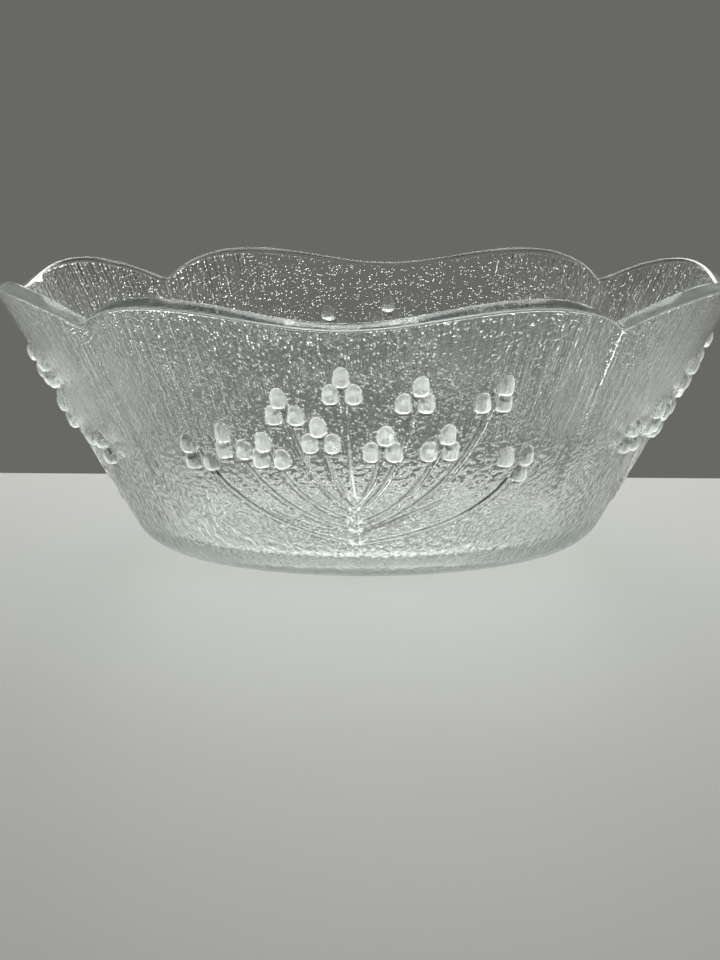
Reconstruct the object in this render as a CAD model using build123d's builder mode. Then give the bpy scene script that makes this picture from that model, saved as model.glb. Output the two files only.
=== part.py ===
from build123d import *
import math
import os

# Four-petalled glass bowl with a wavy rim and a moulded flower spray on the outside of each petal.
# Millimetres, +Z up, origin at the centre of the flat base. One petal faces each of -Y, +X, +Y and -X,
# and the creases between the petals run at 45 degrees to them.

# Driving dimensions
rim_crease_radius = 117.0  # outside, at the rim's low points between two petals
rim_crease_height = 81.5
petal_stand_out = 1.03  # outside radius in the middle of a petal, as a share of the crease's
petal_squareness = 0.75  # half-width of the ellipse that a petal follows in plan, same share
rim_peak_rise = 10.3  # each petal's two peaks, above the crease
rim_dip_rise = 3.9  # the dip in the middle of each petal, above the crease
rim_peak_angle = 26.5  # degrees from the middle of the petal
base_radius = 65.0  # the flat that the bowl stands on
heel_radius = 16.0  # rounding between the base and the wall
wall_lean = 28.0  # degrees from upright
wall_thickness = 4.6
floor_thickness = 5.5
stem_width = 1.5
stem_height = 0.9  # how far a stem stands out of the wall
bud_radius = 1.9
bud_length = 4.8
bud_spacing = 6.8  # between the two lower buds of a cluster
bud_rise = 5.4  # from the lower buds to the upper one
bud_seat = 0.3  # how deep a bud's flat back sits in the wall, which it is one casting with
spray_offset = 1.5  # the main stem stands this far from the middle of the petal
main_stem_top = 29.0

# The clusters on one petal: degrees round from its middle, height of the lower two buds,
# and the height at which the cluster's stem leaves the main stem.
clusters = [
    (-27.8, 40.5, 13.0),
    (-20.3, 45.0, 17.5),
    (-13.6, 42.5, 21.0),
    (-9.8, 57.0, 24.0),
    (-4.3, 48.0, 27.0),
    (-0.3, 64.0, 29.0),
    (6.2, 45.2, 27.0),
    (11.0, 61.0, 24.0),
    (16.1, 45.2, 20.0),
    (23.7, 60.4, 17.0),
    (31.0, 36.5, 13.0),
]
petals = ["front", "right", "back", "left"]

# Sizes that follow
quarter = 90.0
crease_angle = quarter / 2
lean_sin = math.sin(math.radians(wall_lean))
lean_cos = math.cos(math.radians(wall_lean))
wall_inset = wall_thickness / lean_cos
heel_top_radius = base_radius + heel_radius * lean_cos
heel_top_height = heel_radius * (1 - lean_sin)
overrun = 5.0  # how far the untrimmed wall runs past the peaks
wall_top_height = rim_crease_height + rim_peak_rise + overrun
inner_heel_radius = heel_radius - wall_thickness
inner_heel_height = floor_thickness + inner_heel_radius * (1 - lean_sin)
points_per_petal = 12
skin_start_height = heel_radius - (heel_radius + stem_height) * lean_sin
relief_run = 2.5 * rim_crease_radius  # a length that reaches past the bowl


def petal_reach(angle):
    """Outside radius at the crease's height, angle degrees round from a petal's middle."""
    middle = petal_stand_out * rim_crease_radius
    half_width = petal_squareness * rim_crease_radius
    chord = rim_crease_radius * math.cos(math.radians(crease_angle))
    share = math.sqrt(1 - (chord / half_width) ** 2)
    centre = (chord - share * middle) / (1 - share)
    across, along = math.sin(math.radians(angle)), math.cos(math.radians(angle))
    a = (along / (middle - centre)) ** 2 + (across / half_width) ** 2
    b = -2 * centre * along / (middle - centre) ** 2
    c = (centre / (middle - centre)) ** 2 - 1
    return (-b + math.sqrt(b * b - 4 * a * c)) / (2 * a)


def wall_radius(angle, height):
    """Outside radius of the wall at a place on a petal. Below the heel's top it is the heel's."""
    if height < heel_top_height:
        drop = heel_radius - max(height, 0.0)
        return base_radius + math.sqrt(heel_radius**2 - drop**2)
    share = (height - heel_top_height) / (rim_crease_height - heel_top_height)
    return heel_top_radius + share * (petal_reach(angle) - heel_top_radius)


def rim_height(angle):
    """Height of the rim, angle degrees round from a petal's middle."""
    turn = abs(angle)
    if turn < rim_peak_angle:
        swell = (1 - math.cos(math.pi * turn / rim_peak_angle)) / 2
        return rim_crease_height + rim_dip_rise + swell * (rim_peak_rise - rim_dip_rise)
    share = (turn - rim_peak_angle) / (crease_angle - rim_peak_angle)
    return rim_crease_height + rim_peak_rise * (1 - share**2)


def petal_place(angle, height, outward=0.0):
    """A point on the front petal's outside, outward millimetres further from the axis."""
    radius = wall_radius(angle, height) + outward
    turn = math.radians(angle)
    return (radius * math.sin(turn), -radius * math.cos(turn), height)


def petal_edge(height, inset):
    """One petal's outline in plan, seen from above, for a wall inset from the outside."""
    step = quarter / points_per_petal
    angles = [-crease_angle + step * i for i in range(points_per_petal + 1)]
    places = [petal_place(angle, height, -inset) for angle in angles]
    return [(x, y) for x, y, _ in places]


def lobed_section(height, inset):
    """The bowl's outline at a height: four petals that meet in creases."""
    with BuildSketch(Plane.XY.offset(height)) as section:
        with BuildLine():
            for turn in range(4):
                petal = Spline(*petal_edge(height, inset), mode=Mode.PRIVATE)
                add(petal.rotate(Axis.Z, quarter * turn))
        make_face()
    return section.sketch


def round_section(height, radius):
    """A round outline, split at the creases as the lobed one is."""
    corners = [-quarter - crease_angle + quarter * i for i in range(4)]
    with BuildSketch(Plane.XY.offset(height)) as section:
        with BuildLine():
            for corner in corners:
                CenterArc((0, 0), radius, corner, quarter)
        make_face()
    return section.sketch


def dish_profile(flat_radius, bottom, bend_radius):
    """Half of the base's section: a flat and the bend that turns it up to the wall's lean."""
    centre = bottom + bend_radius
    bend_end = (flat_radius + bend_radius * lean_cos, centre - bend_radius * lean_sin)
    with BuildSketch(Plane.XZ) as profile:
        with BuildLine():
            flat = Line((0, bottom), (flat_radius, bottom))
            bend = TangentArc(flat @ 1, bend_end, tangent=(1, 0))
            across = Line(bend @ 1, (0, bend_end[1]))
            Line(across @ 1, flat @ 0)
        make_face()
    return profile.sketch


def rim_trim():
    """What the front petal's rim leaves out, drawn from the front."""
    span = crease_angle - rim_peak_angle
    swell = [rim_peak_angle * i / 4 for i in range(5)]
    fall = [rim_peak_angle + span * i / 5 for i in range(1, 6)]
    right = [(petal_place(a, rim_height(a))[0], rim_height(a)) for a in swell + fall]
    left = [(-x, z) for x, z in right[:0:-1]]
    ceiling = wall_top_height + overrun
    beyond = 2 * rim_crease_radius
    with BuildSketch(Plane.XZ) as trim:
        with BuildLine():
            wave = Spline(*left, *right)
            Polyline(
                wave @ 1,
                (beyond, rim_crease_height),
                (beyond, ceiling),
                (-beyond, ceiling),
                (-beyond, rim_crease_height),
                wave @ 0,
            )
        make_face()
    return trim.sketch


def quadrant():
    """The front quarter of the ground, between the two creases."""
    reach = relief_run
    with BuildSketch(Plane.XY) as ground:
        with BuildLine():
            Polyline((0, 0), (-reach, -reach), (reach, -reach), close=True)
        make_face()
    return ground.sketch


def stem_drawing():
    """The spray's stems as seen from the front: each bends away from the main stem and up."""
    with BuildSketch(Plane.XZ) as drawing:
        with BuildLine() as main:
            Line((spray_offset, 0.5), (spray_offset, main_stem_top))
        trace(main.line, line_width=stem_width)
        for angle, height, start in clusters:
            foot = (spray_offset, start)
            top = height + bud_rise - bud_length / 2 - stem_width / 2
            tip = (petal_place(angle, top)[0], top)
            bend = (foot[0] + 0.75 * (tip[0] - foot[0]), foot[1] + 0.25 * (tip[1] - foot[1]))
            with BuildLine() as branch:
                Bezier(foot, bend, tip)
            trace(branch.line, line_width=stem_width)
    return drawing.sketch


def wall_stand(angle, height, seat):
    """The plane of a thing seated on the front petal: X around the wall, Y outward, Z up it."""
    step = 0.5
    ahead, behind = petal_place(angle + step, height), petal_place(angle - step, height)
    above, below = petal_place(angle, height + step), petal_place(angle, height - step)
    around = (Vector(*behind) - Vector(*ahead)).normalized()
    up = (Vector(*above) - Vector(*below)).normalized()
    outward = up.cross(around)
    return Plane(origin=Vector(*petal_place(angle, height)) - outward * seat, x_dir=around, z_dir=up)


def bud_stands():
    """Where the buds stand on the front petal: two below and one above in each cluster."""
    places = []
    for angle, height, _ in clusters:
        half = math.degrees(bud_spacing / 2 / wall_radius(angle, height))
        tilt = 0.06 * angle
        places += [(angle - half, height), (angle + half, height), (angle + tilt, height + bud_rise)]
    return [wall_stand(angle, height, bud_seat) for angle, height in places]


# The glass itself: base, heel and leaning wall, hollowed, with the wavy rim
with BuildPart() as outside:
    revolve(dish_profile(base_radius, 0, heel_radius), axis=Axis.Z)
    lower = round_section(heel_top_height, heel_top_radius)
    loft([lower, lobed_section(wall_top_height, 0)], ruled=True)

inner_start = wall_radius(crease_angle, inner_heel_height) - wall_inset
inner_flat = inner_start - inner_heel_radius * lean_cos
with BuildPart() as inside:
    revolve(dish_profile(inner_flat, floor_thickness, inner_heel_radius), axis=Axis.Z)
    lower = round_section(inner_heel_height, inner_start)
    loft([lower, lobed_section(wall_top_height, wall_inset)], ruled=True)

with BuildPart() as above_rim:
    extrude(rim_trim(), amount=relief_run)
    extrude(quadrant(), amount=wall_top_height + 2 * overrun, mode=Mode.INTERSECT)

with BuildPart() as bowl:
    add(outside.part)
    add(inside.part, mode=Mode.SUBTRACT)
    for turn in range(4):
        add(above_rim.part.rotate(Axis.Z, quarter * turn), mode=Mode.SUBTRACT)
bowl.part.label = "bowl"

# Everything within a stem's height of the wall's outside, which the stems are cut from
with BuildPart() as skin:
    revolve(dish_profile(base_radius, -stem_height, heel_radius + stem_height), axis=Axis.Z)
    lower = round_section(skin_start_height, heel_top_radius + stem_height * lean_cos)
    loft([lower, lobed_section(wall_top_height, -stem_height / lean_cos)], ruled=True)

# The front petal's spray: upright buds, each a round-ended half rod with its flat back on the wall,
# and the stems that run up to them
with BuildPart() as bud:
    half_straight = bud_length / 2 - bud_radius
    with BuildSketch(Plane.XZ):
        with BuildLine():
            side = Line((bud_radius, -half_straight), (bud_radius, half_straight))
            top = RadiusArc(side @ 1, (0, half_straight + bud_radius), -bud_radius)
            middle = Line(top @ 1, (0, -half_straight - bud_radius))
            RadiusArc(middle @ 1, side @ 0, -bud_radius)
        make_face()
    revolve(axis=Axis.Z, revolution_arc=180)

with BuildPart() as buds:
    with Locations(*bud_stands()):
        add(bud.part)

with BuildPart() as stems:
    extrude(stem_drawing(), amount=relief_run)
    add(skin.part, mode=Mode.INTERSECT)
    add(outside.part, mode=Mode.SUBTRACT)

os.makedirs("parts", exist_ok=True)
export_step(bowl.part, "parts/bowl.step")
for turn, side in enumerate(petals):
    for name, spray in (("stems", stems.part), ("buds", buds.part)):
        piece = spray.rotate(Axis.Z, quarter * turn)
        piece.label = f"{name}_{side}"
        export_step(piece, f"parts/{piece.label}.step")
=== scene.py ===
"""The looks of the petalled glass bowl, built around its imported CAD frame.

The bowl is one casting of clear pressed glass, so one closed mesh stands for all the frame's nodes: a
smooth, fire-polished inside and rim, and an outside with the mould's streaks, ripples and pebbles and a
raised spray of stems and buds on each petal. Lengths are metres, and fields that end in _mm are
millimetres. A turn is an angle round from the middle of the nearest petal, positive towards the next.
A pair in a field is where a smooth step starts and where it is full, unless it is a place.
"""

import logging
import math
from dataclasses import dataclass, field
from enum import Enum
from typing import Any

import bpy
import numpy as np
from mathutils import Euler, Matrix, Vector

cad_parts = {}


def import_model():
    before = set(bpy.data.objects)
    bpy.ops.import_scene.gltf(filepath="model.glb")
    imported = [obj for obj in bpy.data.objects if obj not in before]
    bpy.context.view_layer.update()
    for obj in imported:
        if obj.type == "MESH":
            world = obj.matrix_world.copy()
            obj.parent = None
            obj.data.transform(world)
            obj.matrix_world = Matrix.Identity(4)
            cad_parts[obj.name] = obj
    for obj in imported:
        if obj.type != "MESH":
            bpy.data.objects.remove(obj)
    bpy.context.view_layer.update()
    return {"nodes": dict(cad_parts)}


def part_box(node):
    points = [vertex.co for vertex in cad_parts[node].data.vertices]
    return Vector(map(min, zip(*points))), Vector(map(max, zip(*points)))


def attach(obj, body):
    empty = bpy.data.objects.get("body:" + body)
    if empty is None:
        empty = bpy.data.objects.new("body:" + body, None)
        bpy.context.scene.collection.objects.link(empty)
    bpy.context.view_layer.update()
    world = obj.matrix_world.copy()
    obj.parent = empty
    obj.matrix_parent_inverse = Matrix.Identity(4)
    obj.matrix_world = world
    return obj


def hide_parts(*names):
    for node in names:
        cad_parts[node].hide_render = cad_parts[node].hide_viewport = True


LOG = logging.getLogger("glass_bowl")
MM = 0.001
PETALS = 4
PETAL_TURN = 2 * math.pi / PETALS
HALF_PETAL = PETAL_TURN / 2

Array = np.ndarray
Pair = tuple[float, float]


def linear(colour: str) -> tuple[float, float, float, float]:
    """Turns an sRGB hex colour into a linear one.

    Args:
        colour: six hex digits, such as "C8C8C2".

    Returns:
        Linear red, green, blue and an alpha of 1.
    """
    parts = [int(colour[i : i + 2], 16) / 255 for i in (0, 2, 4)]
    red, green, blue = [p / 12.92 if p <= 0.04045 else ((p + 0.055) / 1.055) ** 2.4 for p in parts]
    return red, green, blue, 1.0


def ramp(low: float, high: float, value: Array) -> Array:
    """A smooth step.

    Args:
        low: where the step starts; it may be above high, and the step then falls.
        high: where the step ends.
        value: the places to read it at.

    Returns:
        0 before low, 1 past high, and a smooth rise between them.
    """
    share = np.clip((value - low) / (high - low), 0.0, 1.0)
    return share * share * (3 - 2 * share)


def curve(start: Array, bend: Array, end: Array, share: Array) -> Array:
    """A curve that leaves its start towards a bend and comes to its end from there.

    Args:
        start: where it starts.
        bend: the corner that it rounds.
        end: where it ends.
        share: how far along it to read, from 0 to 1.

    Returns:
        The places on it.
    """
    return (1 - share) ** 2 * start + 2 * share * (1 - share) * bend + share**2 * end


class LatticeNoise:
    """Gradient noise on a three-dimensional lattice, the same on every run."""

    slopes_drawn = 256
    gain = 1.6

    def __init__(self, seed: int) -> None:
        """Draws the lattice's slopes and the order that they are used in.

        Args:
            seed: which noise it is.
        """
        draw = np.random.default_rng(seed)
        self.order = draw.permutation(self.slopes_drawn)
        slopes = draw.normal(size=(self.slopes_drawn, 3))
        self.slopes = slopes / np.linalg.norm(slopes, axis=1, keepdims=True)

    def __call__(self, x: Array, y: Array, z: Array) -> Array:
        """Reads the noise.

        Args:
            x: places along the lattice's first side, in lattice cells.
            y: the same along its second side.
            z: the same along its third side.

        Returns:
            Values from about -1 to 1.
        """
        whole = [np.floor(v).astype(int) for v in (x, y, z)]
        part = [v - w for v, w in zip((x, y, z), whole)]
        ease = [p * p * p * (p * (p * 6 - 15) + 10) for p in part]
        total = np.zeros_like(part[0])
        for corner in range(8):
            step = [(corner >> axis) & 1 for axis in range(3)]
            index = 0
            for axis in range(3):
                index = self.order[(whole[axis] + step[axis] + index) % self.slopes_drawn]
            share = 1.0
            for axis in range(3):
                share = share * (ease[axis] if step[axis] else 1 - ease[axis])
            slope = self.slopes[index]
            reach = sum(slope[..., axis] * (part[axis] - step[axis]) for axis in range(3))
            total = total + share * reach
        return total * self.gain


@dataclass(frozen=True)
class PetalPlan:
    """The bowl's outline in plan at the height of the rim's low points: four elliptical petals."""

    crease_radius: float = 117.0 * MM
    stand_out: float = 1.03
    squareness: float = 0.75
    crease_softness: float = 0.011

    def soften(self, turn: Array) -> Array:
        """Rounds off the sharp valley where two petals meet.

        Args:
            turn: turns from the middle of the petal, radians.

        Returns:
            Turns that stop just short of the crease.
        """
        left = HALF_PETAL - np.abs(turn)
        return HALF_PETAL - np.sqrt(left * left + self.crease_softness**2)

    def reach(self, turn: Array) -> Array:
        """Outside radius of a petal, which is part of an ellipse.

        Args:
            turn: turns from the middle of the petal, radians.

        Returns:
            Distances from the bowl's axis, metres.
        """
        middle = self.stand_out * self.crease_radius
        half_width = self.squareness * self.crease_radius
        chord = self.crease_radius * math.cos(HALF_PETAL)
        share = math.sqrt(1 - (chord / half_width) ** 2)
        centre = (chord - share * middle) / (1 - share)
        depth = middle - centre
        across, along = np.sin(turn), np.cos(turn)
        squared = (along / depth) ** 2 + (across / half_width) ** 2
        single = -2 * centre * along / depth**2
        alone = (centre / depth) ** 2 - 1
        return (-single + np.sqrt(single * single - 4 * squared * alone)) / (2 * squared)


@dataclass(frozen=True)
class RimWave:
    """The rim's height round a petal: two peaks with a dip between them, falling to the creases."""

    top: float
    peak_rise: float = 10.3 * MM
    dip_rise: float = 3.9 * MM
    peak_turn: float = math.radians(26.5)

    @property
    def crease_height(self) -> float:
        """Height of the rim's low points."""
        return self.top - self.peak_rise

    def height(self, turn: Array) -> Array:
        """Height of the rim.

        Args:
            turn: softened turns, radians.

        Returns:
            Heights in metres.
        """
        swell = (1 - np.cos(math.pi * turn / self.peak_turn)) / 2
        middle = self.dip_rise + swell * (self.peak_rise - self.dip_rise)
        share = (turn - self.peak_turn) / (HALF_PETAL - self.peak_turn)
        side = self.peak_rise * (1 - share**2)
        return self.crease_height + np.where(turn < self.peak_turn, middle, side)


@dataclass(frozen=True)
class WallProfile:
    """The wall's section: a flat base, a rounded heel and a leaning wall that opens into petals."""

    plan: PetalPlan
    crease_height: float
    base_radius: float = 65.0 * MM
    heel_radius: float = 16.0 * MM
    lean: float = math.radians(28.0)
    wall: float = 4.6 * MM
    floor: float = 5.5 * MM

    @property
    def heel_turn(self) -> float:
        """How far the heel bends, from flat to the wall's lean."""
        return math.pi / 2 - self.lean

    @property
    def inset(self) -> float:
        """The wall's thickness measured level."""
        return self.wall / math.cos(self.lean)

    def bend(self, radius: float) -> Pair:
        """How far a heel of a radius runs outward and upward."""
        return radius * math.sin(self.heel_turn), radius * (1 - math.cos(self.heel_turn))

    def outside(self, turn: Array, height: Array) -> Array:
        """Outside radius of the wall above the heel.

        Args:
            turn: softened turns, radians.
            height: heights in metres.

        Returns:
            Distances from the axis in metres.
        """
        run, rise = self.bend(self.heel_radius)
        start = self.base_radius + run
        share = (height - rise) / (self.crease_height - rise)
        return start + share * (self.plan.reach(turn) - start)

    def radius_at(self, turn: float, height: float) -> float:
        """Outside radius of the wall at one place."""
        return float(self.outside(np.array(abs(turn)), np.array(height)))

    def slant(self, height: Array) -> Array:
        """Length along the outside from the edge of the base up to a height on the wall."""
        _, rise = self.bend(self.heel_radius)
        return self.heel_radius * self.heel_turn + (height - rise) / math.cos(self.lean)


@dataclass(frozen=True)
class Bud:
    """One bud: a thimble with a round top, a square foot and faint ribs. A place on it is given across
    and up, in half-widths and half-lengths from its middle."""

    half_width: float = 2.3 * MM
    half_length: float = 3.1 * MM
    height: float = 2.1 * MM
    taper: float = 0.16
    side_power: float = 2.6
    top_power: float = 2.0
    foot_power: float = 3.6
    dome_power: float = 0.45
    droop: float = 0.1
    rib_height: float = 0.2 * MM
    rib_width: float = 0.9 * MM
    rib_edge: float = 0.6
    frost_edge: Pair = (-0.35, -0.05)
    overhang: float = 1.42
    hidden_half_width: float = 0.9
    hidden_half_height: float = 0.17

    def depth(self, across: Array, up: Array) -> Array:
        """How deep inside the bud's outline a place is.

        Args:
            across: places across the bud.
            up: places up the bud.

        Returns:
            1 in the middle, 0 on the outline, and negative outside it.
        """
        end = np.where(up > 0, np.abs(up) ** self.top_power, np.abs(up) ** self.foot_power)
        taper = 1 + self.taper * np.clip(up, -1, 1)
        return 1 - np.abs(across * taper) ** self.side_power - end

    def dome(self, across: Array, up: Array) -> Array:
        """How far the bud stands out of the wall.

        Args:
            across: places across the bud.
            up: places up the bud.

        Returns:
            Heights in metres, 0 outside the outline.
        """
        depth = self.depth(across, up)
        ribs = np.cos(2 * math.pi * across * self.half_width / self.rib_width)
        dome = self.height * np.clip(depth, 0, 1) ** self.dome_power * (1 - self.droop * up)
        dome = dome + self.rib_height * ribs * ramp(0.0, self.rib_edge, depth)
        return np.where(depth > 0, dome, 0)

    def hidden(self, across: Array, up: Array) -> Array:
        """The crescent of wall that the bud's overhang hides, where a groove is cut and shade is painted.

        Args:
            across: places across the bud.
            up: places up the bud.

        Returns:
            Shares from 0 to 1.
        """
        aside, below = across / self.hidden_half_width, (up + self.overhang) / self.hidden_half_height
        return np.exp(-(aside**4) - below**2)


@dataclass(frozen=True)
class Stem:
    """One stem, as seen from in front of the petal.

    It has its points across and up, its half-width at each, how far it stands out of the wall, and its
    side of the petal: -1, 1, or 0 for the main stem in the middle.
    """

    points: Array
    half_widths: Array
    height: float
    side: float

    def distances(self, across: Array, height: Array) -> tuple[Array, Array]:
        """How far places are from the stem.

        Args:
            across: places across the petal, metres.
            height: places up it, metres.

        Returns:
            Distances past the stem's edge, negative inside it, and distances from the edge that faces
            up and in to the middle of the petal.
        """
        gap, edge = np.full_like(across, np.inf), np.full_like(across, np.inf)
        for start, end, width in zip(self.points[:-1], self.points[1:], self.half_widths):
            along = end - start
            share = (across - start[0]) * along[0] + (height - start[1]) * along[1]
            share = np.clip(share / (along @ along), 0, 1)
            right, up = across - start[0] - share * along[0], height - start[1] - share * along[1]
            far = np.hypot(right, up)
            inner = self.side * (up * along[0] - right * along[1]) / math.hypot(*along)
            nearer = far - width < gap
            gap = np.where(nearer, far - width, gap)
            edge = np.where(nearer, np.hypot(inner - width, np.abs(far - np.abs(inner))), edge)
        return gap, edge


@dataclass(frozen=True)
class Cluster:
    """Three buds at the end of one stem: two below and one above, or the other way up if it hangs."""

    turn_deg: float
    height_mm: float
    stem_start_mm: float
    hangs: bool = False


@dataclass(frozen=True)
class Spray:
    """The raised spray of one petal: a main stem, side stems, clusters of three buds, and two shoots
    without buds. A shoot is its foot, its middle and its tip, across and up. A side stem's bend is at a
    share of its way across and a share of its way up."""

    clusters: tuple[Cluster, ...] = (
        Cluster(-27.8, 40.5, 13.0),
        Cluster(-20.3, 45.0, 17.5),
        Cluster(-13.6, 42.5, 21.0),
        Cluster(-9.8, 57.0, 24.0),
        Cluster(-4.3, 48.0, 27.0),
        Cluster(-0.3, 64.0, 29.0),
        Cluster(6.2, 45.2, 27.0),
        Cluster(11.0, 61.0, 24.0),
        Cluster(16.1, 45.2, 20.0),
        Cluster(23.7, 60.4, 17.0),
        Cluster(31.0, 36.5, 13.0, hangs=True),
    )
    shoots_mm: tuple[tuple[Pair, Pair, Pair], ...] = (
        ((-5.1, 17.5), (-14.4, 19.9), (-23.9, 24.0)),
        ((4.5, 17.6), (16.3, 22.6), (28.2, 27.7)),
    )
    bud: Bud = Bud()
    bud_spacing: float = 6.8 * MM
    bud_rise: float = 5.4 * MM
    bud_drop: float = 0.6 * MM
    bud_tilt: float = 0.06
    offset: float = 1.5 * MM
    main_foot: float = -5.0 * MM
    main_top: float = 29.0 * MM
    main_half_width: float = 1.1 * MM
    main_height: float = 0.2 * MM
    stem_half_width: float = 0.55 * MM
    stem_spread: float = 0.45 * MM
    stem_height: float = 0.4 * MM
    stem_edge: float = 0.5 * MM
    stem_bend: Pair = (0.75, 0.25)
    stem_steps: int = 20
    foot_fade: Pair = (4.0 * MM, 12.0 * MM)
    groove_depth: float = 0.35 * MM
    groove_limit: float = 0.2 * MM
    # Where dark shade is painted: a stripe along each side stem's upper edge and a crescent under each bud.
    line_half_width: float = 0.34 * MM
    line_limit: float = 0.25
    line_clearance: Pair = (1.1 * MM, 2.75 * MM)

    def buds(self, profile: WallProfile) -> list[Pair]:
        """Where the buds stand.

        Args:
            profile: the wall that they stand on.

        Returns:
            A turn in radians and a height in metres for each bud.
        """
        places = []
        for cluster in self.clusters:
            turn, height = math.radians(cluster.turn_deg), cluster.height_mm * MM
            half = self.bud_spacing / 2 / profile.radius_at(turn, height)
            single, pair = height + self.bud_rise, height
            if cluster.hangs:
                single, pair = pair, single
            places += [(turn - half, pair), (turn + half, pair), (turn * (1 + self.bud_tilt), single)]
        return places

    def stems(self, profile: WallProfile) -> list[Stem]:
        """The main stem, a stem to each cluster, and the shoots.

        Args:
            profile: the wall that they lie on.

        Returns:
            The stems.
        """
        share = np.linspace(0, 1, self.stem_steps + 1)[:, None]
        even = np.ones(len(share))
        foot, tip = np.array([[self.offset, self.main_foot], [self.offset, self.main_top]])
        stems = [Stem(foot + share * (tip - foot), self.main_half_width * even, self.main_height, 0.0)]
        for cluster in self.clusters:
            turn = math.radians(cluster.turn_deg)
            single = cluster.height_mm * MM + (0 if cluster.hangs else self.bud_rise)
            top = single - self.bud.half_length
            foot = np.array([self.offset, cluster.stem_start_mm * MM])
            tip = np.array([profile.radius_at(turn, top) * math.sin(turn), top])
            bend = foot + np.array(self.stem_bend) * (tip - foot)
            widths = self.stem_half_width + self.stem_spread * share[:, 0]
            side = math.copysign(1.0, tip[0] - foot[0])
            stems.append(Stem(curve(foot, bend, tip, share), widths, self.stem_height, side))
        for shoot in self.shoots_mm:
            foot, middle, tip = MM * np.array(shoot)
            points = curve(foot, 2 * middle - (foot + tip) / 2, tip, share)
            side = math.copysign(1.0, tip[0])
            stems.append(Stem(points, self.stem_half_width * even, self.stem_height, side))
        return stems

    def relief(
        self, profile: WallProfile, turn: Array, radius: Array, height: Array, slant: Array
    ) -> tuple[Array, Array, Array]:
        """How far the spray stands out of the wall, where its buds are frosted, and where shade is painted
        by it.

        Args:
            profile: the wall that it stands on.
            turn: turns with their sign, radians.
            radius: distances from the axis, metres.
            height: heights, metres.
            slant: lengths up the outside from the edge of the base, metres.

        Returns:
            Heights above the wall in metres, negative in the groove below each bud; where the buds are,
            from 0 to 1; and where shade is painted in dark stripes beside stems and below buds, from 0 to
            1.
        """
        across = radius * np.sin(turn)
        raised, lines, groove, frost = [np.zeros_like(across) for _ in range(4)]
        for stem in self.stems(profile):
            gap, edge = stem.distances(across, height)
            raised = np.maximum(raised, stem.height * ramp(self.stem_edge / 2, -self.stem_edge / 2, gap))
            if stem.side:
                # Painted shade along the side stem's edge that faces up and in.
                lines = np.maximum(lines, ramp(2 * self.line_half_width, 0.0, edge))
        for bud_turn, bud_height in self.buds(profile):
            side = (turn - bud_turn) * radius / self.bud.half_width
            up = (slant - profile.slant(np.array(bud_height)) + self.bud_drop) / self.bud.half_length
            depth, hidden = self.bud.depth(side, up), self.bud.hidden(side, up)
            raised = np.maximum(raised, self.bud.dome(side, up))
            frost = np.maximum(frost, ramp(*self.bud.frost_edge, depth))
            groove = np.maximum(groove, self.groove_depth * hidden)
            # Painted shade in the crescent under each bud, cleared on the bud itself.
            lines = np.where(depth > self.line_limit, 0, np.maximum(lines, hidden))
        foot = ramp(*self.foot_fade, slant)
        lines = lines * ramp(*self.line_clearance, np.abs(across - self.offset))
        groove = np.where(raised > self.groove_limit, 0, groove)
        return foot * (raised - groove), frost, lines * foot


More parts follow.
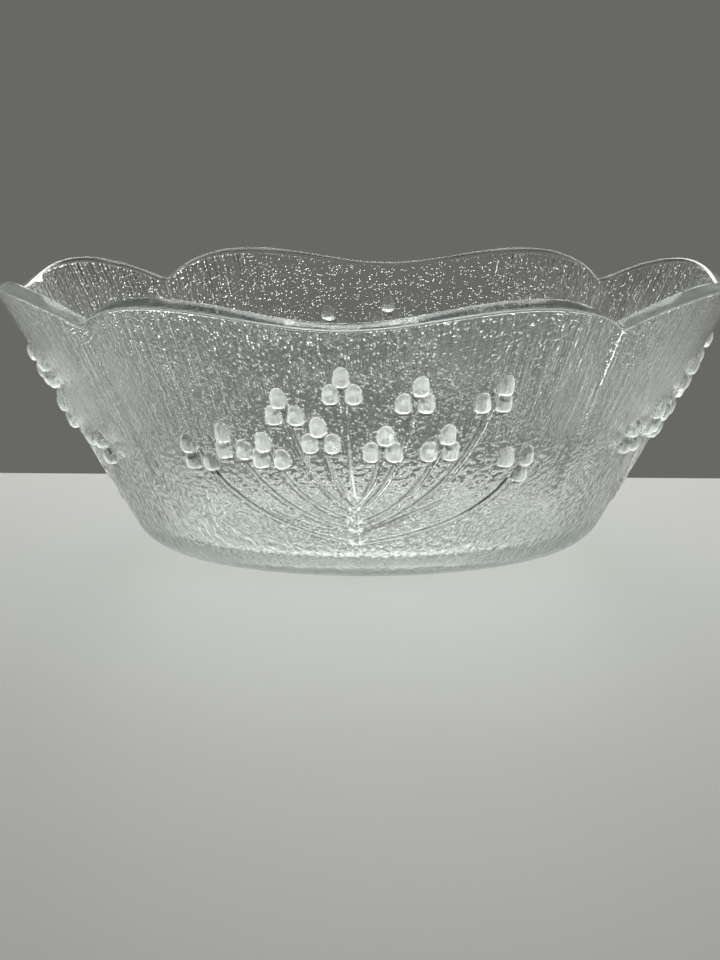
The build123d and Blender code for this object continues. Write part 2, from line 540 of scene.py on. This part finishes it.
@dataclass(frozen=True)
class MouldTexture:
    """The outside's texture, cut into the mould: streaks by the creases, ripples at the height of the
    buds, and pebbles below them. Each depth is how far it goes either way."""

    streak_width: float = 1.3 * MM
    streak_length: float = 30.0 * MM
    streak_depth: float = 0.17 * MM
    streak_turns: Pair = (math.radians(14), math.radians(36))
    streak_heights: Pair = (40.0 * MM, 56.0 * MM)
    streak_middle: float = 0.25
    streak_foot: float = 0.2
    thread_fineness: float = 1.9
    thread_shortness: float = 0.8
    thread_share: float = 0.6
    speck_size: float = 1.15 * MM
    speck_depth: float = 0.05 * MM
    ripple_width: float = 3.4 * MM
    ripple_height: float = 1.2 * MM
    ripple_depth: float = 0.10 * MM
    ripple_foot: Pair = (30.0 * MM, 42.0 * MM)
    ripple_top: Pair = (60.0 * MM, 46.0 * MM)
    pebble_size: float = 1.9 * MM
    pebble_depth: float = 0.17 * MM
    pebble_top: Pair = (50.0 * MM, 34.0 * MM)
    pebble_gain: float = 1.6
    pebble_middle: float = 0.5
    hair_turns: Pair = (math.radians(8), math.radians(26))
    hair_heights: Pair = (38.0 * MM, 56.0 * MM)
    hair_middle: float = 0.14
    rim_edge: Pair = (0.3 * MM, 1.6 * MM)
    heel_edge: Pair = (0.0, 10.0 * MM)
    sunk: float = 0.8
    reference_radius: float = 105.0 * MM

    def hairs(self, turn: Array, height: Array) -> Array:
        """Where the hair streaks are: on the upper wall, and most beside the creases.

        Args:
            turn: turns without their sign, radians.
            height: heights, metres.

        Returns:
            Shares from 0 to 1.
        """
        beside = self.hair_middle + (1 - self.hair_middle) * ramp(*self.hair_turns, turn)
        return beside * ramp(*self.hair_heights, height)

    def relief(self, around: Array, turn: Array, height: Array, slant: Array, rim: Array) -> Array:
        """How far the texture stands out of the wall.

        Args:
            around: angles round the axis, radians.
            turn: turns without their sign, radians.
            height: heights, metres.
            slant: lengths up the outside, metres.
            rim: heights of the rim's outer edge, metres.

        Returns:
            Heights in metres, mostly below the wall's own surface.
        """
        x, y = self.reference_radius * np.sin(around), self.reference_radius * np.cos(around)

        def noise(seed: int, wide: float, tall: float) -> Array:
            """Noise in cells of a width round the bowl and a height up it."""
            return LatticeNoise(seed)(x / wide, y / wide, slant / tall)

        streaks = noise(3, self.streak_width, self.streak_length)
        threads = noise(
            5, self.streak_width / self.thread_fineness, self.streak_length / self.thread_shortness
        )
        specks = noise(7, self.speck_size, self.speck_size)
        ripples = noise(11, self.ripple_width, self.ripple_height)
        pebbles = noise(13, self.pebble_size, self.pebble_size)
        beside = self.streak_middle + (1 - self.streak_middle) * ramp(*self.streak_turns, turn)
        upper = ramp(*self.streak_heights, height)
        band = ramp(*self.ripple_foot, height) * ramp(*self.ripple_top, height)
        upper_streaks = self.streak_depth * beside * (self.streak_foot + (1 - self.streak_foot) * upper)
        total = upper_streaks * (streaks + self.thread_share * threads)
        total += self.speck_depth * upper * specks
        total += self.ripple_depth * band * ripples
        bumps = np.abs(pebbles) * self.pebble_gain - self.pebble_middle
        total += self.pebble_depth * ramp(*self.pebble_top, height) * bumps
        edge, foot = ramp(*self.rim_edge, rim - height), ramp(*self.heel_edge, slant)
        return (total - self.streak_depth * self.sunk) * edge * foot


@dataclass(frozen=True)
class OutsideSkin:
    """The outside's points and, for each, its length up the outside and where the frosted buds and the
    dark stripes of painted shade are, from 0 to 1."""

    points: Array
    slants: Array
    buds: Array
    lines: Array


@dataclass
class GlassBowl:
    """The bowl: one closed skin from the middle of the base, out and up the outside, over the rim and
    down the inside. Its rings have a point in each column, and a column is an angle round the bowl."""

    plan: PetalPlan
    rim: RimWave
    profile: WallProfile
    spray: Spray = field(default_factory=Spray)
    texture: MouldTexture = field(default_factory=MouldTexture)
    columns: int = 1440
    base_rows: int = 9
    heel_rows: int = 22
    wall_rows: int = 176
    corner_rows: int = 8
    inside_rows: int = 44
    bend_rows: int = 14
    base_middle: float = 0.1
    base_hollow: float = 0.4 * MM
    base_ledge: Pair = (0.92, 0.8)
    worn_height: float = 4.0 * MM
    wear: float = 0.7
    rim_slope: float = 2.8 * MM
    rim_slope_dip: float = 1.8 * MM
    rim_round: float = 1.1 * MM
    rim_corner: float = 0.22
    swell_size: float = 14.0 * MM
    swell_depth: float = 0.05 * MM
    spray_foot: Pair = (0.0, 1.5 * MM)
    spray_seen: Pair = (0.0, 0.25 * MM)
    spray_smoothing: float = 0.85
    pressed_foot: Pair = (0.0, 8.0 * MM)
    pressed_top: Pair = (0.4 * MM, 1.2 * MM)

    def __post_init__(self) -> None:
        """Works out the columns' angles and turns, and the rim's inner and outer heights."""
        self.wide = np.ones(self.columns)
        self.around = np.arange(self.columns) * (2 * math.pi / self.columns)
        self.turn = (self.around + HALF_PETAL) % PETAL_TURN - HALF_PETAL
        self.soft_turn = self.plan.soften(self.turn)
        self.rim_height = self.rim.height(self.soft_turn)
        rise = self.rim_height - self.rim.crease_height - self.rim.dip_rise
        share = np.clip(rise / (self.rim.peak_rise - self.rim.dip_rise), 0, 1)
        slope = self.rim_slope_dip + share * (self.rim_slope - self.rim_slope_dip)
        self.edge_height = self.rim_height - slope

    def rings(self, radii: Array, heights: Array) -> Array:
        """Places rings of points.

        Args:
            radii: one row for each ring, one column for each angle.
            heights: the same.

        Returns:
            Points, rows by columns by three.
        """
        return np.stack([radii * np.sin(self.around), -radii * np.cos(self.around), heights], axis=-1)

    def base_skin(self, shares: Array) -> Array:
        """The underside, a little hollow inside the ring that the bowl stands on.

        Args:
            shares: the rings' radii as shares of the base's.

        Returns:
            Points, rows by columns by three.
        """
        radii = (shares * self.profile.base_radius)[:, None] * self.wide
        return self.rings(radii, (self.base_hollow * ramp(*self.base_ledge, shares))[:, None] * self.wide)

    def outside_skin(self) -> OutsideSkin:
        """The heel and the outside wall, with the texture and the spray.

        Returns:
            The skin.
        """
        profile = self.profile
        _, rise = profile.bend(profile.heel_radius)
        bends = np.linspace(0, profile.heel_turn, self.heel_rows)[:, None] * self.wide
        share = (np.arange(self.wall_rows) + 1)[:, None] / self.wall_rows
        heights = rise + share * (self.edge_height - self.rim_round - rise)
        height = np.vstack([profile.heel_radius * (1 - np.cos(bends)), heights])
        heel_radii = profile.base_radius + profile.heel_radius * np.sin(bends)
        radius = np.vstack([heel_radii, profile.outside(self.soft_turn, heights)])
        slant = np.vstack([profile.heel_radius * bends, profile.slant(heights)])
        turn, around = [np.broadcast_to(values, radius.shape) for values in (self.turn, self.around)]
        one_petal = slice(0, self.columns // PETALS)
        fields = [values[:, one_petal] for values in (turn, radius, height, slant)]
        # The spray's heights, its frosted buds, and where shade is painted in dark stripes.
        spray, buds, lines = [np.tile(f, (1, PETALS)) for f in self.spray.relief(profile, *fields)]
        mould = self.texture.relief(around, np.abs(turn), height, slant, self.edge_height)
        mould = mould * (1 - self.spray_smoothing * ramp(*self.spray_seen, np.abs(spray)))
        stand = spray * ramp(*self.spray_foot, slant) + mould
        LOG.info("outside: relief %.2f to %.2f mm", stand.min() / MM, stand.max() / MM)
        points = self.rings(radius, height)
        points = points + self.normals(points) * stand[..., None]
        points[..., 2] = np.maximum(points[..., 2], 0.0)
        return OutsideSkin(points, slant, buds, lines)

    @staticmethod
    def normals(points: Array) -> Array:
        """Outward normals of a skin of rings.

        Args:
            points: rows by columns by three, rows going up the outside.

        Returns:
            Unit vectors, one for each point.
        """
        up = np.gradient(points, axis=0)
        onward = np.roll(points, -1, axis=1) - np.roll(points, 1, axis=1)
        normal = np.cross(onward, up)
        return normal / np.linalg.norm(normal, axis=-1, keepdims=True)

    def rim_skin(self) -> Array:
        """The rim: a band square to the wall, fire-polished, with its two corners melted round.

        Returns:
            Points, rows by columns by three.
        """
        low, top, corner = self.edge_height, self.rim_height, self.rim_corner
        near = (corner * self.wide, low + corner * (top - low))
        far = ((1 - corner) * self.wide, top - corner * (top - low))
        share = (np.arange(self.corner_rows)[:, None] + 1) / (self.corner_rows + 1)
        outer = ((0 * self.wide, low - self.rim_round), (0 * self.wide, low), near)
        inner = (far, (self.wide, top), (self.wide, top - self.rim_round))
        across, heights = [
            np.concatenate([curve(*(place[axis] for place in bend), share) for bend in (outer, inner)])
            for axis in (0, 1)
        ]
        radii = self.profile.outside(self.soft_turn, heights) - self.profile.inset * across
        return self.rings(radii, heights)

    def inside_skin(self) -> Array:
        """The smooth inside wall and the bend down to the floor, with the faint swell of hot glass.

        Returns:
            Points, rows by columns by three.
        """
        profile = self.profile
        radius = profile.heel_radius - profile.wall
        run, rise = profile.bend(radius)
        start = profile.floor + rise
        share = 1 - np.arange(self.inside_rows)[:, None] / (self.inside_rows - 1)
        heights = start + share * (self.rim_height - self.rim_round - start)
        radii = profile.outside(self.soft_turn, heights) - profile.inset
        x, y = radii * np.sin(self.around), radii * np.cos(self.around)
        swell = LatticeNoise(17)(x / self.swell_size, y / self.swell_size, heights / self.swell_size)
        radii = radii + self.swell_depth * swell * share
        bends = np.linspace(profile.heel_turn, 0, self.bend_rows)[1:, None]
        bend_radii = radii[-1] - run + radius * np.sin(bends)
        bend_heights = profile.floor + radius * (1 - np.cos(bends)) * self.wide
        return np.concatenate([self.rings(radii, heights), self.rings(bend_radii, bend_heights)])

    def skin(self) -> tuple[Array, dict[str, Array]]:
        """The whole skin, and where each finish is on it.

        Returns:
            Points, rows by columns by three, and an array of rows by columns for each name: the weights
            from 0 to 1 of the "pressed" outside, each "bud", the dark stripes of painted shade, the "hair"
            streaks and the satin "rim", and the "slant", the length up the outside in metres.
        """
        shares = np.linspace(self.base_middle, 1, self.base_rows)[:-1]
        base, outside, rim = self.base_skin(shares), self.outside_skin(), self.rim_skin()
        inside = self.inside_skin()
        floor = np.stack([inside[-1] * (share, share, 1) for share in shares[::-1]])
        grid = np.concatenate([base, outside.points, rim, inside, floor])
        names = ("pressed", "bud", "line", "hair", "rim", "slant")
        weights = {name: np.zeros(grid.shape[:2]) for name in names}
        start, end = len(base), len(base) + len(outside.points)
        heights = outside.points[..., 2]
        below_rim = ramp(*self.pressed_top, self.edge_height - heights)
        pressed = ramp(*self.pressed_foot, outside.slants) * below_rim
        hairs = pressed * self.texture.hairs(np.abs(self.turn), heights)
        weights["pressed"][start:end] = pressed
        weights["hair"][start:end] = np.maximum(hairs, outside.buds)
        weights["bud"][start:end] = outside.buds
        # Where shade is painted in dark stripes, for the glass's colour.
        weights["line"][start:end] = outside.lines
        weights["slant"][start:end] = outside.slants
        weights["rim"][:end] = self.wear * ramp(self.worn_height, 0.0, grid[:end, :, 2])
        weights["rim"][end : end + len(rim)] = 1
        return grid, weights

    def faces(self, rows: int) -> tuple[Array, Array]:
        """The faces between rings, and the two fans that close the skin.

        Args:
            rows: how many rings there are; the middles of the base and the floor come after them.

        Returns:
            The faces' points in turn, and how many points each face has.
        """
        ring = np.arange(self.columns)
        onward = np.roll(ring, -1)
        first = np.arange(rows - 1)[:, None] * self.columns
        low, beside = first + ring, first + onward
        quads = np.stack([low, beside, beside + self.columns, low + self.columns], axis=-1)
        last = (rows - 1) * self.columns
        base_middle = rows * self.columns * np.ones(self.columns, dtype=int)
        under = np.stack([onward, ring, base_middle], axis=-1)
        over = np.stack([last + ring, last + onward, base_middle + 1], axis=-1)
        sizes = np.repeat([4, 3], [(rows - 1) * self.columns, 2 * self.columns])
        return np.concatenate([quads.ravel(), under.ravel(), over.ravel()]), sizes

    def mesh(self) -> bpy.types.Mesh:
        """Makes the skin into a mesh.

        Returns:
            The mesh, smooth-shaded and closed, with the finishes' weights and the points' places in the
            mould, which are the outside's rolled on to a cylinder.
        """
        grid, weights = self.skin()
        middles = [[0, 0, self.base_hollow], [0, 0, self.profile.floor]]
        points = np.concatenate([grid.reshape(-1, 3), middles])
        turns, sizes = self.faces(len(grid))
        mesh = bpy.data.meshes.new("bowl_glass")
        mesh.vertices.add(len(points))
        mesh.vertices.foreach_set("co", points.ravel())
        mesh.loops.add(len(turns))
        mesh.loops.foreach_set("vertex_index", turns)
        mesh.polygons.add(len(sizes))
        mesh.polygons.foreach_set("loop_start", np.cumsum(sizes) - sizes)
        mesh.update(calc_edges=True)
        mesh.validate()
        mesh.shade_smooth()
        slants = weights.pop("slant")
        for name, values in weights.items():
            layer = mesh.attributes.new(name, "FLOAT", "POINT")
            layer.data.foreach_set("value", np.append(values, [0] * len(middles)))
        x, y = [self.texture.reference_radius * wave(self.around) for wave in (np.sin, np.cos)]
        mould = np.stack(np.broadcast_arrays(x, y, slants), axis=-1)
        layer = mesh.attributes.new("mould", "FLOAT_VECTOR", "POINT")
        layer.data.foreach_set("vector", np.append(mould, [[0, 0, 0]] * len(middles)))
        return mesh


class Nodes:
    """A node tree that is being laid out."""

    def __init__(self, tree: bpy.types.NodeTree) -> None:
        """Empties a tree and gets ready to fill it.

        Args:
            tree: the tree.
        """
        self.tree = tree
        tree.nodes.clear()

    def add(self, kind: str, inputs: dict[str | int, Any] | None = None, **settings: Any) -> bpy.types.Node:
        """Adds a node with its settings and links.

        Args:
            kind: the node's type, such as "ShaderNodeMath".
            inputs: for each input's name or number, a value or an output socket to link.
            settings: the node's own properties.

        Returns:
            The node.
        """
        node = self.tree.nodes.new(kind)
        for name, value in settings.items():
            setattr(node, name, value)
        for name, value in (inputs or {}).items():
            if isinstance(value, bpy.types.NodeSocket):
                self.tree.links.new(value, node.inputs[name])
            else:
                node.inputs[name].default_value = value
        return node


@dataclass(frozen=True)
class PressedSodaLimeGlass:
    """Clear soda-lime glass, pressed in a textured iron mould and fire-polished inside and at the rim.

    It gives the eye a clear body with a faint green in its thick edges, a glitter of small dimples on
    the outside, satin buds and rim, and a liquid smoothness inside. Dark stripes of painted shade are
    mixed into its colour beside the stems and under the buds.
    """

    ior: float = 1.52
    surface: str = "FBFDFC"
    body: str = "BCDCCF"
    absorption_per_metre: float = 5.0
    polished_roughness: float = 0.01
    pressed_roughness: float = 0.05
    rim_roughness: float = 0.2
    bud_roughness: float = 0.42
    # The colour of the painted shade beside the stems and under the buds.
    dark_line: str = "1E221F"
    speck_mm: float = 0.85
    speck_depth_mm: float = 0.25
    speck_share: float = 0.65
    speck_edge: Pair = (0.5, 0.15)
    hair_mm: float = 1.1
    hair_length_mm: float = 45.0
    hair_depth_mm: float = 0.8
    bead_mm: float = 1.1
    bead_share: float = 0.22

    def relief(self, nodes: Nodes, pressed: bpy.types.NodeSocket) -> bpy.types.NodeSocket:
        """The texture too fine for the mesh: specks and hair streaks cut in the mould.

        Args:
            nodes: the tree to add it to.
            pressed: the weight of the pressed outside.

        Returns:
            The normal's socket.
        """
        place = nodes.add("ShaderNodeAttribute", attribute_name="mould").outputs["Vector"]
        cells = nodes.add("ShaderNodeTexVoronoi", {"Vector": place, "Scale": 1 / (self.speck_mm * MM)})
        spot = nodes.add(
            "ShaderNodeMapRange",
            {
                "Value": cells.outputs["Distance"],
                "From Min": self.speck_edge[0],
                "From Max": self.speck_edge[1],
            },
            interpolation_type="SMOOTHSTEP",
        ).outputs["Result"]
        pick = nodes.add("ShaderNodeSeparateColor", {"Color": cells.outputs["Color"]}).outputs["Red"]
        chosen = nodes.add(
            "ShaderNodeMapRange", {"Value": pick, "From Min": 1 - self.speck_share}
        ).outputs["Result"]
        specks = nodes.add("ShaderNodeMath", {0: spot, 1: chosen}, operation="MULTIPLY").outputs[0]
        fine, long = 1 / (self.hair_mm * MM), 1 / (self.hair_length_mm * MM)
        stretched = nodes.add(
            "ShaderNodeVectorMath", {0: place, 1: (fine, fine, long)}, operation="MULTIPLY"
        ).outputs["Vector"]
        hairs = nodes.add("ShaderNodeTexNoise", {"Vector": stretched, "Scale": 1.0, "Detail": 1.0})
        beads = nodes.add(
            "ShaderNodeTexNoise", {"Vector": place, "Scale": 1 / (self.bead_mm * MM), "Detail": 0.0}
        )
        beaded = nodes.add(
            "ShaderNodeMath",
            {0: beads.outputs["Fac"], 1: self.bead_share, 2: hairs.outputs["Fac"]},
            operation="MULTIPLY_ADD",
        ).outputs[0]
        weight = nodes.add("ShaderNodeAttribute", attribute_name="hair").outputs["Fac"]
        spotted = nodes.add(
            "ShaderNodeBump", {"Strength": pressed, "Distance": self.speck_depth_mm * MM, "Height": specks}
        ).outputs["Normal"]
        return nodes.add(
            "ShaderNodeBump",
            {"Strength": weight, "Distance": self.hair_depth_mm * MM, "Height": beaded, "Normal": spotted},
        ).outputs["Normal"]

    def material(self) -> bpy.types.Material:
        """Makes the glass.

        Returns:
            The material, which lets lamps shine through to the table.
        """
        glass = bpy.data.materials.new("pressed_soda_lime_glass")
        glass.use_nodes = True
        nodes = Nodes(glass.node_tree)
        pressed, rim, bud, line = [
            nodes.add("ShaderNodeAttribute", attribute_name=name).outputs["Fac"]
            for name in ("pressed", "rim", "bud", "line")
        ]
        rough: float | bpy.types.NodeSocket = self.polished_roughness
        finishes = ((pressed, self.pressed_roughness), (rim, self.rim_roughness), (bud, self.bud_roughness))
        for weight, roughness in finishes:
            rough = nodes.add(
                "ShaderNodeMapRange", {"Value": weight, "To Min": rough, "To Max": roughness}
            ).outputs["Result"]
        # Painted shade: the dark colour is mixed into the surface colour by the painted-shade weight.
        tint_with_painted_shade = nodes.add(
            "ShaderNodeMix",
            {"Factor": line, 6: linear(self.surface), 7: linear(self.dark_line)},
            data_type="RGBA",
        ).outputs[2]
        surface = nodes.add(
            "ShaderNodeBsdfPrincipled",
            {
                "Base Color": tint_with_painted_shade,
                "Roughness": rough,
                "IOR": self.ior,
                "Transmission Weight": 1.0,
                "Normal": self.relief(nodes, pressed),
            },
        ).outputs["BSDF"]
        path = nodes.add("ShaderNodeLightPath").outputs
        passing = nodes.add(
            "ShaderNodeMath", {0: path["Is Shadow Ray"], 1: path["Is Diffuse Ray"]}, operation="MAXIMUM"
        ).outputs[0]
        clear = nodes.add("ShaderNodeBsdfTransparent", {"Color": linear(self.surface)}).outputs["BSDF"]
        mixed = nodes.add("ShaderNodeMixShader", {0: passing, 1: surface, 2: clear}).outputs["Shader"]
        volume = nodes.add(
            "ShaderNodeVolumeAbsorption",
            {"Color": linear(self.body), "Density": self.absorption_per_metre},
        ).outputs["Volume"]
        nodes.add("ShaderNodeOutputMaterial", {"Surface": mixed, "Volume": volume})
        return glass


@dataclass(frozen=True)
class PaintedTable:
    """A table top in pale satin paint, sprayed smooth. It gives the eye a soft, even ground."""

    colour: str = "C7C7C2"
    roughness: float = 0.6
    mottle_mm: float = 90.0
    mottle: float = 0.02

    def material(self) -> bpy.types.Material:
        """Makes the paint.

        Returns:
            The material, with a very faint unevenness.
        """
        paint = bpy.data.materials.new("pale_satin_paint")
        paint.use_nodes = True
        nodes = Nodes(paint.node_tree)
        place = nodes.add("ShaderNodeTexCoord").outputs["Object"]
        cloud = nodes.add("ShaderNodeTexNoise", {"Vector": place, "Scale": 1 / (self.mottle_mm * MM)})
        value = nodes.add(
            "ShaderNodeMapRange",
            {"Value": cloud.outputs["Fac"], "To Min": 1 - self.mottle, "To Max": 1 + self.mottle},
        ).outputs["Result"]
        colour = nodes.add("ShaderNodeHueSaturation", {"Color": linear(self.colour), "Value": value})
        surface = nodes.add(
            "ShaderNodeBsdfPrincipled", {"Base Color": colour.outputs["Color"], "Roughness": self.roughness}
        )
        nodes.add("ShaderNodeOutputMaterial", {"Surface": surface.outputs["BSDF"]})
        return paint


class LightSide(Enum):
    """Where a soft light stands, as a direction from the bowl."""

    OVERHEAD = (0.0, 0.3, 1.0)
    BEHIND = (0.0, 1.0, 0.55)
    LEFT_EDGE = (-0.5, 1.0, 0.28)
    RIGHT_EDGE = (0.5, 1.0, 0.28)


@dataclass(frozen=True)
class SoftLight:
    """One soft studio light."""

    side: LightSide
    watts: float
    width: float
    height: float
    distance: float
    mirrored: bool = True

    def place(self) -> None:
        """Puts the light up, aimed at the bowl."""
        data = bpy.data.lights.new(f"soft_{self.side.name.lower()}", "AREA")
        data.shape = "RECTANGLE"
        data.energy, data.size, data.size_y = self.watts, self.width, self.height
        lamp = bpy.data.objects.new(data.name, data)
        direction = Vector(self.side.value).normalized()
        lamp.location = direction * self.distance
        lamp.rotation_euler = (-direction).to_track_quat("-Z", "Y").to_euler()
        lamp.visible_camera = False
        lamp.visible_glossy = self.mirrored
        bpy.context.collection.objects.link(lamp)


@dataclass(frozen=True)
class Studio:
    """A pale table with its far edge close behind the bowl, a plain grey room and soft lights."""

    table_front: float = -2.0
    table_back: float = 0.127
    table_half_width: float = 1.6
    table_thickness: float = 0.03
    gap: float = 0.15 * MM
    room: str = "686864"
    ceiling: str = "7A7A77"
    ceiling_edge: Pair = (0.25, 0.8)
    lights: tuple[SoftLight, ...] = (
        SoftLight(LightSide.OVERHEAD, 1.95, 0.6, 0.25, 0.65),
        SoftLight(LightSide.BEHIND, 5.8, 0.9, 0.35, 1.3),
        SoftLight(LightSide.LEFT_EDGE, 2.1, 0.18, 0.6, 1.3, mirrored=False),
        SoftLight(LightSide.RIGHT_EDGE, 2.1, 0.18, 0.6, 1.3, mirrored=False),
    )

    def table(self) -> None:
        """Puts the table top just under the bowl."""
        mesh = bpy.data.meshes.new("table")
        wide, front, back = self.table_half_width, self.table_front, self.table_back
        outline = ((-wide, front), (wide, front), (wide, back), (-wide, back))
        spots = [(x, y, z) for z in (-self.gap - self.table_thickness, -self.gap) for x, y in outline]
        low, high = range(4), range(4, 8)
        sides = [(low[i - 1], low[i], high[i], high[i - 1]) for i in range(4)]
        mesh.from_pydata(spots, [], [tuple(reversed(low)), tuple(high), *sides])
        mesh.materials.append(PaintedTable().material())
        top = bpy.data.objects.new("table", mesh)
        bpy.context.collection.objects.link(top)

    def surroundings(self) -> None:
        """Makes the room: plain grey all round, lighter overhead."""
        world = bpy.data.worlds.new("room")
        bpy.context.scene.world = world
        world.use_nodes = True
        nodes = Nodes(world.node_tree)
        up = nodes.add("ShaderNodeTexCoord").outputs["Generated"]
        height = nodes.add("ShaderNodeSeparateXYZ", {"Vector": up}).outputs["Z"]
        share = nodes.add(
            "ShaderNodeMapRange",
            {"Value": height, "From Min": self.ceiling_edge[0], "From Max": self.ceiling_edge[1]},
            interpolation_type="SMOOTHSTEP",
        ).outputs["Result"]
        colour = nodes.add(
            "ShaderNodeMix",
            {"Factor": share, 6: linear(self.room), 7: linear(self.ceiling)},
            data_type="RGBA",
        ).outputs[2]
        back = nodes.add("ShaderNodeBackground", {"Color": colour, "Strength": 1.0})
        nodes.add("ShaderNodeOutputWorld", {"Surface": back.outputs["Background"]})

    def build(self) -> None:
        """Builds the table, the room and the lights."""
        self.table()
        self.surroundings()
        for light in self.lights:
            light.place()
        LOG.info("studio: table, room and %d soft lights", len(self.lights))


@dataclass(frozen=True)
class Viewpoint:
    """The camera: a long lens, a little above the rim and just to the right of the front petal."""

    place: tuple[float, float, float] = (0.0508, -0.7890, 0.1526)
    turn_deg: float = 3.89
    tilt_down_deg: float = 9.55
    roll_deg: float = -0.2
    focal_mm: float = 88.03
    sensor_mm: float = 36.0

    def build(self) -> None:
        """Puts the camera up and makes it the scene's."""
        data = bpy.data.cameras.new("camera")
        data.lens, data.sensor_width = self.focal_mm, self.sensor_mm
        camera = bpy.data.objects.new("camera", data)
        aim = Euler((math.radians(90 - self.tilt_down_deg), 0, math.radians(self.turn_deg))).to_matrix()
        aim = aim @ Matrix.Rotation(math.radians(self.roll_deg), 3, "Z")
        camera.matrix_world = Matrix.Translation(self.place) @ aim.to_4x4()
        bpy.context.collection.objects.link(camera)
        bpy.context.scene.camera = camera
        LOG.info("camera: %.0f mm lens", self.focal_mm)


@dataclass(frozen=True)
class LightPaths:
    """How far light is followed through the many walls that it crosses in a glass bowl."""

    bounces: int = 18
    mirror_bounces: int = 6
    brightest_bounce: float = 8.0

    def build(self) -> None:
        """Sets the limits, and shows colours as they are."""
        scene = bpy.context.scene
        scene.cycles.max_bounces = self.bounces
        scene.cycles.transmission_bounces = self.bounces
        scene.cycles.glossy_bounces = self.mirror_bounces
        scene.cycles.sample_clamp_indirect = self.brightest_bounce
        scene.view_settings.view_transform = "Standard"


def build_bowl(nodes: dict[str, bpy.types.Object]) -> None:
    """Builds the bowl in place of the frame's nodes.

    Args:
        nodes: the frame's nodes by name.
    """
    _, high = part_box("bowl")
    plan = PetalPlan()
    rim = RimWave(top=high[2])
    mesh = GlassBowl(plan, rim, WallProfile(plan, rim.crease_height)).mesh()
    mesh.materials.append(PressedSodaLimeGlass().material())
    piece = bpy.data.objects.new("glass_bowl", mesh)
    bpy.context.collection.objects.link(piece)
    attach(piece, "bowl")
    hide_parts(*nodes)
    LOG.info("glass bowl: %d points, %d faces", len(mesh.vertices), len(mesh.polygons))


def main() -> None:
    """Builds the scene in order."""
    logging.basicConfig(level=logging.INFO, format="%(name)s: %(message)s")
    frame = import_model()
    build_bowl(frame["nodes"])
    Studio().build()
    Viewpoint().build()
    LightPaths().build()


if __name__ == "__main__":
    main()
